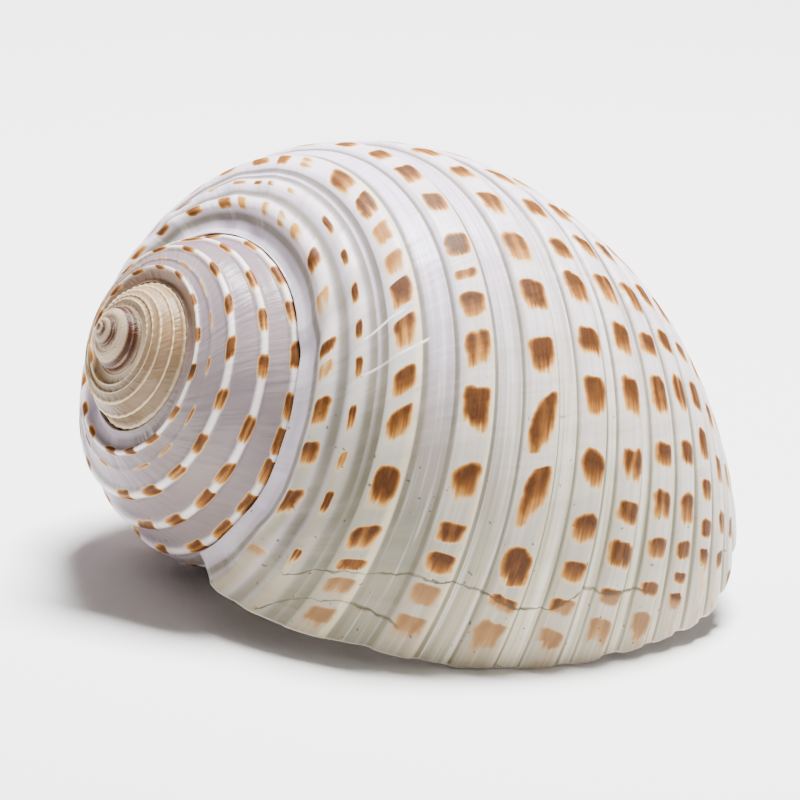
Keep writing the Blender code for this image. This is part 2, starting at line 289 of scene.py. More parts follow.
class Section:
    """The half section at full size, from the suture edge to the top of the funnel."""

    def __init__(self):
        funnel_end = (FRONT[-1][0] / GROWTH, FRONT[-1][1] / GROWTH)
        crowns = [(radius, depth) for radius, depth, width in RIBS.values()]
        self.points = np.array([SUTURE_EDGE] + crowns + FRONT + FUNNEL + [funnel_end])
        gaps = np.hypot(*np.diff(self.points, axis=0).T)
        self.stations = np.concatenate([[0.0], np.cumsum(gaps)])
        self.ribs = self.stations[1:1 + len(RIBS)]
        self.widths = np.array([width for radius, depth, width in RIBS.values()])
        self.front = self.stations[1 + len(RIBS):1 + len(RIBS) + len(FRONT)]
        self.end = self.stations[-1]
        bare = list(RIBS).index(LAST_BARE_RIB)
        self.foot = self.ribs[bare] + self.widths[bare] / 2 + RIB_FLANK

    def crown(self, at):
        """Radius and depth on the curve through the rib crowns."""
        radius = smooth(self.stations, self.points[:, 0], at)
        depth = smooth(self.stations, self.points[:, 1], at)
        return np.stack([radius, depth], -1)

    def outward(self, at):
        """Unit normal of that curve, away from the shell's wall."""
        reach = 0.05
        along = (self.crown(np.minimum(at + reach, self.end))
                 - self.crown(np.maximum(at - reach, 0.0)))
        normal = np.stack([along[..., 1], -along[..., 0]], -1)
        return normal / np.linalg.norm(normal, axis=-1, keepdims=True)

    def wall(self, at):
        """Thickness of the wall, thin at the lip and thick in the pillar."""
        stations = [0.0, self.ribs[10], self.front[1], self.front[3], self.end]
        return np.interp(at, stations, [LIP_WALL, LIP_WALL, FRONT_WALL, PILLAR_WALL, PILLAR_WALL])

    def lip_turn(self, at):
        """Turns from the zero mark to the lip."""
        stations = [0.0, self.ribs[2], self.foot, self.ribs[7], self.ribs[10],
                    self.front[1], self.front[2], self.front[3]]
        turns = [LIP_AT_SUTURE, LIP_AT_SHOULDER, LIP_AT_FOOT, LIP_AT_BELLY, LIP_AT_BASE,
                 LIP_AT_NOTCH, LIP_AT_PILLAR, LIP_AT_PILLAR]
        return smooth(stations, turns, np.clip(at, 0.0, self.front[3]))

    def nearest_rib(self, at):
        """Number of the nearest rib, and the distance from its middle line."""
        edges = (self.ribs[:-1] + self.widths[:-1] / 2 + self.ribs[1:] - self.widths[1:] / 2) / 2
        number = np.searchsorted(edges, at)
        return number, at - self.ribs[number]

    def rib_profile(self, at, turn):
        """Height of the ribs from 0 in a groove to 1 on a crown.

        By the lip a rib has a flat crown and smooth flanks, but E and F are round ridges. On
        the older whorls each is a cord, a cosine arch over the crown and both flanks."""
        number, away = self.nearest_rib(at)
        half = self.widths[number] / 2
        flat = 1 - step(half - 0.1, half + RIB_FLANK, np.abs(away))
        reach = (CORD_WIDTH - 0.2 * step(*BEAD_TURNS, turn)) * (half + RIB_FLANK)
        cord = np.cos(np.pi / 2 * np.clip(np.abs(away) / reach, 0, 1)) ** 1.3
        weak = WEAK_CORD + (1 - WEAK_CORD) * step(*WEAK_TURNS, turn)
        cord = cord * np.where(number == 1, weak, 1.0)
        ridge = np.cos(np.pi / 2 * np.clip(np.abs(away) / (half + 2 * RIB_FLANK), 0, 1)) ** 1.6
        flat = np.where(number < 2, ridge, flat)
        change = step(*CORD_TURNS, turn)
        return flat * (1 - change) + cord * change

    def relief(self, at, turn):
        """Height of the surface over the curve through the crowns, in full-size millimetres."""
        at, turn = np.broadcast_arrays(at, turn)
        cords = step(*CORD_TURNS, turn)
        bare = step(*BARE_TURNS, turn)
        rib_height = RIDGE_HEIGHT + (RIB_HEIGHT - RIDGE_HEIGHT) * step(*SHOULDER_STATIONS, at)
        rib_height = rib_height + (BELLY_RIB_HEIGHT - RIB_HEIGHT) * step(*BELLY_STATIONS, at)
        height = rib_height + (CORD_HEIGHT - rib_height) * cords
        profile = self.rib_profile(at, turn)
        beads = np.sin(2 * np.pi * BEADS_PER_TURN * turn + BEAD_SLANT * at)
        beads = BEAD_HEIGHT * step(*BEAD_TURNS, turn) * beads
        ribs = -height * (1 - profile * (1 + beads))
        riblets = sum(tall * np.exp(-((at - station) / (0.4 * width)) ** 2)
                      for station, tall, width in RIBLETS)
        past_ribs = step(self.ribs[-1] + 2.2, self.ribs[-1] + 5, at)
        covered = step(0.0, 1.4, at)
        at_foot = step(self.foot - 1.6, self.foot - 0.3, at) * step(*FOOT_TURNS, turn)
        ribs = ribs * (1 - (1 - FOOT_DEPTH) * at_foot)
        shelf = ribs * covered + riblets * (1 - 0.8 * cords)
        bulge = step(self.foot - 8, self.foot - 0.5, at) * (1 - step(self.foot + 1, self.foot + 10, at))
        bulge = FOOT_BULGE * bulge * step(*FOOT_TURNS, turn)
        return (shelf + bulge) * (1 - bare) * (1 - past_ribs) - BARE_DEPTH * bare * covered

    def crack_distance(self, crack, at, turn):
        """Millimetres from a crack along the spiral, positive on its older side."""
        turns = np.interp(at, [station for mark, station in crack], [mark for mark, station in crack])
        radius = self.crown(np.clip(at, 0, self.end))[..., 0]
        return (turn - turns) * 2 * np.pi * radius * GROWTH ** -turn


def sink(turn):
    """How far the tip's whorls lie below a pure spiral: one smooth step, and one for the bud."""
    return TIP_SINK * step(*SINK_TURNS, turn) + BUD_SINK * step(*BUD_TURNS, turn)


def place(half_section, turn, older):
    """The half section turned, scaled by GROWTH to the power of minus turn, and sunk."""
    size = GROWTH ** (-turn)
    angle = 2 * math.pi * turn
    radius = half_section[..., 0] * size
    height = -half_section[..., 1] * size - sink(turn + older)
    return np.stack([radius * np.cos(angle), radius * np.sin(angle), height], -1)


class Surface:
    """Points, pattern coordinates and faces of the closed shell."""

    def __init__(self):
        self.section = Section()
        self.find_rows()
        self.find_outside()
        self.find_inside()
        self.quads = []
        self.others = []

    def find_rows(self):
        """Stations of the rows.

        Rows lie evenly along the section's length plus ROW_CROWDING times the rise and
        fall of its relief, by the lip and two whorls back."""
        section = self.section
        fine = np.linspace(0, section.end, 9001)
        rise = sum(np.abs(np.diff(section.relief(fine, turn))) for turn in (0.4, 2.2))
        travelled = np.concatenate([[0], np.cumsum(np.diff(fine) + ROW_CROWDING * rise)])
        marks = np.interp([0, section.foot, section.front[3], section.end], fine, travelled)
        counts = (WHORL_ROWS, BASE_ROWS, FUNNEL_ROWS)
        evenly = [np.linspace(a, b, n, endpoint=False) for a, b, n in zip(marks, marks[1:], counts)]
        stations = np.interp(np.concatenate(evenly + [marks[-1:]]), travelled, fine)
        self.stations = np.concatenate([np.full(EDGE_ROWS, 0.0), stations])
        self.edge = EDGE_ROWS
        self.foot = self.edge + WHORL_ROWS
        self.pillar = self.foot + BASE_ROWS
        self.last = self.pillar + FUNNEL_ROWS
        self.first_inside = int(np.searchsorted(self.stations, INSIDE_START))
        self.last_inside = self.last - 3
        self.belly_start = self.foot + 6
        self.belly_end = int(np.searchsorted(self.stations, section.front[2]))
        self.foot_column = COLUMNS_PER_TURN - SLANT_COLUMNS
        self.spire_columns = int(SPIRE_TURNS * COLUMNS_PER_TURN)

    def find_outside(self):
        """Outer points: every row at every column, with the edge rolled over.

        The edge follows a Bezier curve of three points: the foot on the whorl before, a
        crest, and the upper edge."""
        section = self.section
        stations = self.stations
        rows = len(stations)
        self.column = np.arange(self.spire_columns + COLUMNS_PER_TURN + 1)
        self.growth = self.column / COLUMNS_PER_TURN
        start = section.lip_turn(stations)
        start[0] = section.lip_turn(section.foot) - 1 / 9
        turn = start[:, None] + self.growth[None, :] + self.lip_chips(stations)
        relief = section.relief(stations[:, None], turn)
        relief = relief + self.growth_ridges(stations, turn) + self.mended_step(stations, turn)
        relief = relief * (0.45 + 0.55 * step(0.0, 0.05, self.growth))
        curve = section.crown(stations)[:, None, :] + (
            section.outward(stations)[:, None, :] * relief[..., None])
        foot_depth = CORD_HEIGHT * FOOT_DEPTH - FOOT_BULGE
        foot = (section.crown(section.foot) - section.outward(section.foot) * foot_depth) / GROWTH
        edge = np.array(SUTURE_EDGE)
        crest = edge - np.array(EDGE_CREST)
        u = (np.arange(EDGE_ROWS) / EDGE_ROWS)[:, None]
        roll = foot * (1 - u) ** 2 + 2 * crest * u * (1 - u) + edge * u * u
        curve[:EDGE_ROWS] = roll[:, None, :] + (curve[self.edge] - edge)[None, :, :] * u[..., None]
        near_edge = np.exp(-(np.maximum(stations, 0) / 2.2) ** 2)
        near_edge[:EDGE_ROWS] = u[:, 0]
        ripple = waves(EDGE_WAVES, self.growth) * step(0.0, 0.02, self.growth)
        curve = curve + near_edge[:, None, None] * ripple[None, :, None] * np.array(EDGE_WAVE_AIM)
        begins, ends = FLUSH_TURNS
        flush = step(*begins, turn) * (1 - step(*ends, turn))
        for shift, part in ((FLUSH_EDGE, flush), (LOW_EDGE, step(*LOW_TURNS, turn)),
                            (TIP_EDGE, step(*TIP_TURNS, turn))):
            curve = curve - (near_edge[:, None] * part)[..., None] * np.array(shift)
        older = np.clip(1 - (np.arange(rows) - self.edge) / WHORL_ROWS, 0, 1)
        self.turn = turn
        self.outer = place(curve, turn, older[:, None])
        self.profile = section.rib_profile(np.broadcast_to(stations[:, None], turn.shape), turn)

    def lip_chips(self, stations):
        """Small bites out of the rim, as turns added to the first columns.

        Seeded waves along the rim, raised to a power so that they are flat with a few bites,
        and fading out over eight columns."""
        wide = np.maximum(0, wander(stations, 5.0, 21)) ** 2
        narrow = np.maximum(0, wander(stations, 1.7, 22)) ** 3
        fade = 1 - step(0, 8, self.column.astype(float))
        guard = step(3, 9, stations) * (1 - step(self.section.front[0], self.section.front[1], stations))
        return LIP_CHIPS * ((wide + 0.6 * narrow) * guard)[:, None] * fade[None, :]

    def growth_ridges(self, stations, turn):
        """Fine ridges along the former lips, in full-size millimetres.

        Seeded waves of the growth time, three octaves, with an amplitude that wanders
        along the section, and broader ones on the last whorl's shelf."""
        ridges = waves(RIDGE_WAVES, self.growth)
        amplitude = 0.8 + waves(RIDGE_CHANGE, stations)
        past_ribs = step(self.section.front[0], self.section.front[2], stations)[:, None]
        fade = (1 - step(*RIDGELESS_TURNS, turn)) * (1 - past_ribs)
        strong = 1 + 0.4 * step(0.8, 1.0, turn) - 0.6 * step(1.7, 2.0, turn)
        shelf = waves(SHELF_WAVES, self.growth) * (1 - step(*SHELF_STATIONS, stations))[:, None]
        shelf = shelf * (1 - step(*SHELF_TURNS, turn)) * step(0.01, 0.05, self.growth)
        return amplitude[:, None] * ridges[None, :] * fade * strong + shelf

    def mended_step(self, stations, turn):
        """The zone between the long crack and the lip lies a little lower."""
        distance = self.section.crack_distance(LONG_CRACK, stations[:, None], turn)
        begins, ends = MENDED_STATIONS
        inside = step(*begins, stations) * (1 - step(*ends, stations))
        return -CRACK_STEP * (1 - step(-0.9, 0.3, distance)) * inside[:, None]

    def find_inside(self):
        """Wall of the hollow: half of the outer relief, moved in by the wall's thickness.

        The wall thins towards the rim of the lip as a smooth step of the growth time."""
        section = self.section
        rows = np.arange(self.first_inside, self.last_inside + 1)
        stations = self.stations[rows]
        columns = slice(0, HOLLOW_COLUMNS + 1)
        turn = self.turn[rows][:, columns]
        thin = LIP_THINNING + (1 - LIP_THINNING) * step(0.0, 0.05, self.growth[columns])
        pillar = step(section.front[0], section.front[2], stations)[:, None]
        thickness = section.wall(stations)[:, None] * (pillar + (1 - pillar) * thin[None, :])
        relief = section.relief(stations[:, None], turn)
        height = 0.5 * relief - 0.5 * RIB_HEIGHT - thickness
        outward = section.outward(stations)[:, None, :]
        curve = section.crown(stations)[:, None, :] + outward * height[..., None]
        self.inner = place(curve, turn, 0.0)
        self.inside_rows = rows

    def number_points(self):
        """Numbers of the outer, rim and inner points, with the welded rows shared."""
        outer_count = self.outer.shape[0] * self.outer.shape[1]
        self.out = np.arange(outer_count).reshape(self.outer.shape[:2])
        width = self.out.shape[1]
        self.out[0, :width - self.foot_column] = self.out[self.foot, self.foot_column:]
        self.out[self.last, :width - COLUMNS_PER_TURN] = self.out[self.pillar, COLUMNS_PER_TURN:]
        inner_count = self.inner.shape[0] * self.inner.shape[1]
        self.inn = outer_count + np.arange(inner_count).reshape(self.inner.shape[:2])
        self.rim = outer_count + inner_count + np.arange(
            (RIM_ROWS - 1) * len(self.inside_rows)).reshape(RIM_ROWS - 1, -1)
        self.ends = outer_count + inner_count + self.rim.size

    def find_rim(self):
        """Rim of the lip: half an ellipse from the outer to the inner surface.

        It stands out from the lip by RIM_REACH times the wall's thickness."""
        outer = self.outer[self.inside_rows, 0]
        inner = self.inner[:, 0]
        forward = outer - self.outer[self.inside_rows, 1]
        forward /= np.linalg.norm(forward, axis=-1, keepdims=True)
        thickness = np.linalg.norm(outer - inner, axis=-1, keepdims=True)
        angle = (np.pi * np.arange(1, RIM_ROWS) / RIM_ROWS)[:, None, None]
        middle, half = (outer + inner) / 2, (outer - inner) / 2
        return middle + half * np.cos(angle) + forward * thickness * RIM_REACH * np.sin(angle)

    def cover(self, numbers, rows, start, end):
        """Four-sided faces between the given rows of a table of numbers."""
        net = numbers[rows][:, start:end + 1]
        corners = [net[:-1, :-1], net[1:, :-1], net[1:, 1:], net[:-1, 1:]]
        self.quads.append(np.stack(corners, -1).reshape(-1, 4))

    def join(self, numbers, fine, coarse, column):
        """Faces of one column whose start has the fine rows and whose end the coarse rows."""
        for low, high in zip(coarse[:-1], coarse[1:]):
            edge = [row for row in fine if low <= row <= high]
            face = [numbers[row, column] for row in edge]
            self.others.append(face + [numbers[high, column + 1], numbers[low, column + 1]])

    def close(self, loop, number):
        """Three-sided faces from a closed loop to one point."""
        for first, second in zip(loop, loop[1:] + loop[:1]):
            self.others.append([first, second, number])

    def build(self):
        """All faces: last whorl, spire, hollow and rim."""
        self.number_points()
        out, inn, rim = self.out, self.inn, self.rim
        foot, pillar, last = self.foot, self.pillar, self.last
        every = np.arange(last + 1)
        spire = self.spire_columns
        self.cover(out, every[:self.belly_start + 1], 0, self.foot_column)
        self.cover(out, every[self.belly_start:self.belly_end + 1], 0, self.foot_column)
        self.cover(out, every[self.belly_end:], 0, COLUMNS_PER_TURN)
        whorl, start = every[:foot + 1], self.foot_column
        for turn in THINNING_TURNS:
            column = int(turn * COLUMNS_PER_TURN)
            self.cover(out, whorl, start, column)
            self.join(out, whorl, whorl[::2], column)
            whorl, start = whorl[::2], column + 1
        self.cover(out, whorl, start, spire)

        hollow_end = self.foot_column + HOLLOW_COLUMNS
        belly = every[self.belly_start:self.belly_end + 1]
        coarse = np.unique(np.append(belly[::2], belly[-1]))
        self.join(out, belly, coarse, self.foot_column)
        self.cover(out, coarse, self.foot_column + 1, hollow_end)
        inside = np.arange(len(self.inside_rows))
        wide = np.unique(np.append(inside[::3], inside[-1]))
        self.cover(inn, inside, 0, RIM_COLUMNS)
        self.quads[-1] = self.quads[-1][:, ::-1]
        count = len(self.others)
        self.join(inn, inside, wide, RIM_COLUMNS)
        self.others[count:] = [face[::-1] for face in self.others[count:]]
        self.cover(inn, wide, RIM_COLUMNS + 1, HOLLOW_COLUMNS)
        self.quads[-1] = self.quads[-1][:, ::-1]
        net = np.vstack([out[self.inside_rows, 0], rim, inn[:, 0]])
        self.cover(net, np.arange(RIM_ROWS + 1), 0, len(self.inside_rows) - 1)

        columns = np.arange(HOLLOW_COLUMNS + 1)
        low = np.stack([out[self.belly_start, self.foot_column + columns], inn[0]])
        high = np.stack([inn[-1], out[self.belly_end, COLUMNS_PER_TURN + columns]])
        self.cover(low, [1, 0], 0, HOLLOW_COLUMNS)
        self.cover(high, [1, 0], 0, HOLLOW_COLUMNS)
        top = list(out[:self.first_inside + 1, 0]) + list(rim[:, 0]) + [inn[0, 0]]
        top += [out[row, self.foot_column] for row in range(self.belly_start, foot, -1)]
        self.others.append(top[::-1])
        bottom = list(out[self.last_inside:last + 1, 0])
        bottom += [out[row, COLUMNS_PER_TURN] for row in range(pillar - 1, self.belly_end - 1, -1)]
        bottom += [inn[-1, 0]] + list(rim[::-1, -1])
        self.others.append(bottom[::-1])

        tip = [out[row, spire] for row in whorl]
        tip += [out[0, column] for column in range(spire - self.foot_column + 1, spire)]
        self.close(tip, self.ends)
        funnel = [out[last, column] for column in range(COLUMNS_PER_TURN + 1)]
        funnel += [out[row, COLUMNS_PER_TURN] for row in range(last - 1, pillar, -1)]
        self.close(funnel, self.ends + 1)
        back = [out[self.belly_start, hollow_end]] + [inn[row, HOLLOW_COLUMNS] for row in wide]
        back += [out[self.belly_end, column]
                 for column in range(COLUMNS_PER_TURN + HOLLOW_COLUMNS, hollow_end, -1)]
        back += [out[row, hollow_end] for row in coarse[:0:-1]]
        self.close(back, self.ends + 2)
        self.add_points(tip, funnel, back)

    def add_points(self, tip, funnel, back):
        """All points in one table, with the middle points of the three closed ends."""
        flat = [self.outer.reshape(-1, 3), self.inner.reshape(-1, 3), self.find_rim().reshape(-1, 3)]
        points = np.concatenate(flat)
        tip_point = points[tip].mean(axis=0) + (0, 0, 0.05)
        funnel_point = points[funnel].mean(axis=0) * (0, 0, 1)
        turned = Matrix.Rotation(2 * math.pi * HOLLOW_END_TURN, 3, "Z")
        back_point = turned @ Vector(points[back].mean(axis=0)) * GROWTH ** -HOLLOW_END_TURN
        self.points = np.vstack([points, tip_point, funnel_point, back_point])

    def spread(self, outer, inner, rim, ends):
        """One value or row of values for each point, in the order of the points."""
        size = outer.shape[2:]
        outer = np.asarray(outer, float).reshape((-1,) + size)
        inner = np.broadcast_to(inner, self.inner.shape[:2] + size).reshape((-1,) + size)
        rim = np.broadcast_to(rim, self.rim.shape + size).reshape((-1,) + size)
        ends = np.broadcast_to(ends, (3,) + size)
        return np.concatenate([outer, inner, rim, ends])


def spot_list(letter, rng):
    """All spots of a rib, as (start, end, strength, skew), from the lip to the tip.

    Between and beyond the known spots new ones follow at the pitch for their turn, with
    seeded changes of place, length and strength."""
    known = [(spot + (1.0, 0.0)[len(spot) - 2:]) for spot in SPOTS.get(letter, [])]
    half = OLDER_SPOT_LENGTH / 2
    known += [(middle - half, middle + half, 0.9, 0.0) for middle in OLDER_SPOTS.get(letter, [])]
    spots = []
    at = known[0][0] if known else BASE_SPOTS_TURN
    for start, end, strength, skew in known + [(LAST_SPOT_TURN, LAST_SPOT_TURN, 0.0, 0.0)]:
        pitch = SPOT_PITCH * GROWTH ** at
        while start - at > 1.25 * pitch:
            middle = at + pitch * rng.uniform(*SPOT_PLACES)
            reach = pitch * rng.uniform(*SPOT_REACHES)
            spots.append((middle - reach, middle + reach, rng.uniform(*SPOT_STRENGTHS), 0.0))
            at = middle + pitch * 0.5
            pitch = SPOT_PITCH * GROWTH ** at
        if end > start:
            spots.append((start, end, strength, skew))
            at = end + 0.2 * pitch
    return spots


def spot_coordinates(surface):
    """Phase and strength of the spots at every outer point.

    The phase is a whole number at the middle of a spot, a quarter more or less at its
    ends, and straight in between. On the shoulder it is read at the turn that the former lip
    through the point has on the rib's middle line, so the spots' ends follow the growth lines.
    On the belly it is read nearly at the point's own turn, so the ends stand square."""
    section = surface.section
    number, away = section.nearest_rib(surface.stations)
    phase = np.zeros(surface.turn.shape)
    strength = np.zeros(surface.turn.shape)
    for rib, letter in enumerate(RIBS):
        rng = np.random.default_rng(SPOT_SEED + rib)
        spots = spot_list(letter, rng)
        starts, ends, strengths, skews = np.array(spots).T
        marks = np.stack([starts, (starts + ends) / 2, ends], -1).ravel()
        values = (np.arange(len(spots))[:, None] + np.array([-0.25, 0, 0.25])).ravel()
        borders = (starts[1:] + ends[:-1]) / 2
        rows = np.flatnonzero(number == rib)
        slant = section.lip_turn(surface.stations[rows]) - section.lip_turn(section.ribs[rib])
        upright = 0.9 * step(15, 50, section.ribs[rib])
        time = surface.turn[rows] - ((1 - upright) * slant)[:, None]
        at_spot = np.searchsorted(borders, time)
        leaning = 0.25 * skews[at_spot] * (away[rows] * 2 / section.widths[rib])[:, None]
        phase[rows] = np.interp(time, marks, values) + SPOTS_PER_RIB * rib - leaning
        strength[rows] = strengths[at_spot]
    strength = strength * (1 - 0.9 * step(*SPOTLESS_TURNS, surface.turn))
    widths = np.array([SPOT_WIDTHS[letter] for letter in RIBS])[number][:, None]
    widths = widths * (1 + (OLDER_SPOT_WIDTH - 1) * step(*CORD_TURNS, surface.turn))
    across = away[:, None] / (widths / 2)
    return np.stack([phase, strength, across], -1)


def crack_ends(crack, stations, turn):
    """1 along a crack, and 0 a millimetre past its ends and on older whorls."""
    first, last = crack[0][1], crack[-1][1]
    begun = step(first - 0.7, first + 0.3, stations)
    ended = step(last - 0.3, last + 0.7, stations)
    return np.broadcast_to(begun * (1 - ended) * (turn < CRACK_TURNS), turn.shape)


def suture_shade_strength(surface):
    """Painted shade: 1 in the suture, over the rolled edge's first rows and the whorl before it, else 0.
    """
    turn = surface.turn
    foot = surface.section.foot
    covered = step(0.86, 0.885, surface.growth)[None, :]
    start = foot - 1.1 - 2 * step(1.7, 2.3, turn)
    suture_shade = np.array(step(start, foot - 0.1, surface.stations[:, None]) * covered)
    rolled = 1 - np.arange(EDGE_ROWS) / (EDGE_ROWS - 0.8)
    suture_shade[:EDGE_ROWS] = np.clip(rolled, 0, 1)[:, None]
    return suture_shade


def paint(mesh, used, surface):
    """Pattern coordinates of the points: spots, ribs, cracks, the suture's painted shade, scratches and
    growth lines.

    Cracks and scratches are kept as distances, so that their lines stay sharp."""
    section = surface.section
    stations = surface.stations[:, None]
    turn = surface.turn
    spots = spot_coordinates(surface)
    marks = [LONG_CRACK, SHORT_CRACK] + SCRATCHES
    long_crack, short_crack, first_scratch, second_scratch = [
        section.crack_distance(mark, stations, turn) for mark in marks]
    ends = [crack_ends(crack, stations, turn) for crack in (LONG_CRACK, SHORT_CRACK)]
    # The crack attribute's third value is the painted shade in the suture.
    cracks = np.stack([long_crack, short_crack, suture_shade_strength(surface)], -1)
    ends = np.stack(ends + [second_scratch], -1)
    zones = np.stack([surface.profile, turn, first_scratch], -1)
    lines = np.stack(np.broadcast_arrays(surface.growth[None, :], stations / 100), -1)

    inside = surface.inside_rows
    columns = slice(0, HOLLOW_COLUMNS + 1)
    no_spot = np.array([0.5, 0.0, 0.0])
    no_crack = np.array([FAR, FAR, 0.0])
    no_ends = np.array([0.0, 0.0, FAR])
    inner_zones, rim_zones = zones[inside][:, columns], zones[inside, 0][None]
    sets = {
        "spot": surface.spread(spots, no_spot, no_spot, no_spot),
        "crack": surface.spread(cracks, no_crack, no_crack, no_crack),
        "crack_ends": surface.spread(ends, no_ends, no_ends, no_ends),
        "zone": surface.spread(zones, inner_zones, rim_zones, np.array([1.0, 3.9, FAR])),
        "lining": surface.spread(np.zeros(turn.shape), 1.0, 1.0, np.array([0.0, 0.0, 1.0])),
    }
    for name, values in sets.items():
        kind = "FLOAT_VECTOR" if values.ndim == 2 else "FLOAT"
        attribute = mesh.attributes.new(name, kind, "POINT")
        attribute.data.foreach_set("vector" if values.ndim == 2 else "value", values[used].ravel())
    inner_lines, rim_lines = lines[inside][:, columns], lines[inside, 0][None]
    lines = surface.spread(lines, inner_lines, rim_lines, np.array([5.0, 0.3]))[used]
    corners = np.zeros(len(mesh.loops), dtype=np.int32)
    mesh.loops.foreach_get("vertex_index", corners)
    layer = mesh.uv_layers.new(name="growth_lines")
    layer.uv.foreach_set("vector", lines[corners].ravel())


def rest_matrix():
    """From the shell frame, in millimetres, to where the shell lies, in metres."""
    turn = Euler([math.radians(angle) for angle in REST_ANGLES]).to_matrix().to_4x4()
    return Matrix.Scale(MILLIMETRE, 4) @ Matrix.Translation(REST_SHIFT) @ turn


def shell_mesh():
    """The closed surface as a mesh, at rest, with its pattern coordinates."""
    surface = Surface()
    surface.build()
    quads = np.concatenate(surface.quads)
    corners = [quads.ravel()] + [np.array(face) for face in surface.others]
    used, numbers = np.unique(np.concatenate(corners), return_inverse=True)
    quads_new = numbers[:quads.size].reshape(-1, 4).tolist()
    others, at = [], quads.size
    for face in surface.others:
        others.append(numbers[at:at + len(face)].tolist())
        at += len(face)
    matrix = np.array(rest_matrix())
    points = surface.points[used] @ matrix[:3, :3].T + matrix[:3, 3]
    mesh = bpy.data.meshes.new("tun_shell")
    mesh.from_pydata(points, [], quads_new + others)
    mesh.validate()
    paint(mesh, used, surface)
    mesh.shade_smooth()
    return mesh


def node(tree, kind, inputs=None, output=0, stops=(), **settings):
    """Adds a node with its settings, links or sets its inputs, and gives one output.

    An input is a socket, which is linked, or a value, which is set. The stops of a
    colour ramp are pairs of a place and an sRGB hex colour."""
    made = tree.nodes.new("ShaderNode" + kind)
    for name, value in settings.items():
        setattr(made, name, value)
    for key, value in (inputs or {}).items():
        if isinstance(value, bpy.types.NodeSocket):
            tree.links.new(value, made.inputs[key])
        else:
            made.inputs[key].default_value = value
    for number, (position, code) in enumerate(stops):
        elements = made.color_ramp.elements
        element = elements[number] if number < 2 else elements.new(1.0)
        element.position = position
        element.color = linear(code)
    return made.outputs[output] if made.outputs else made


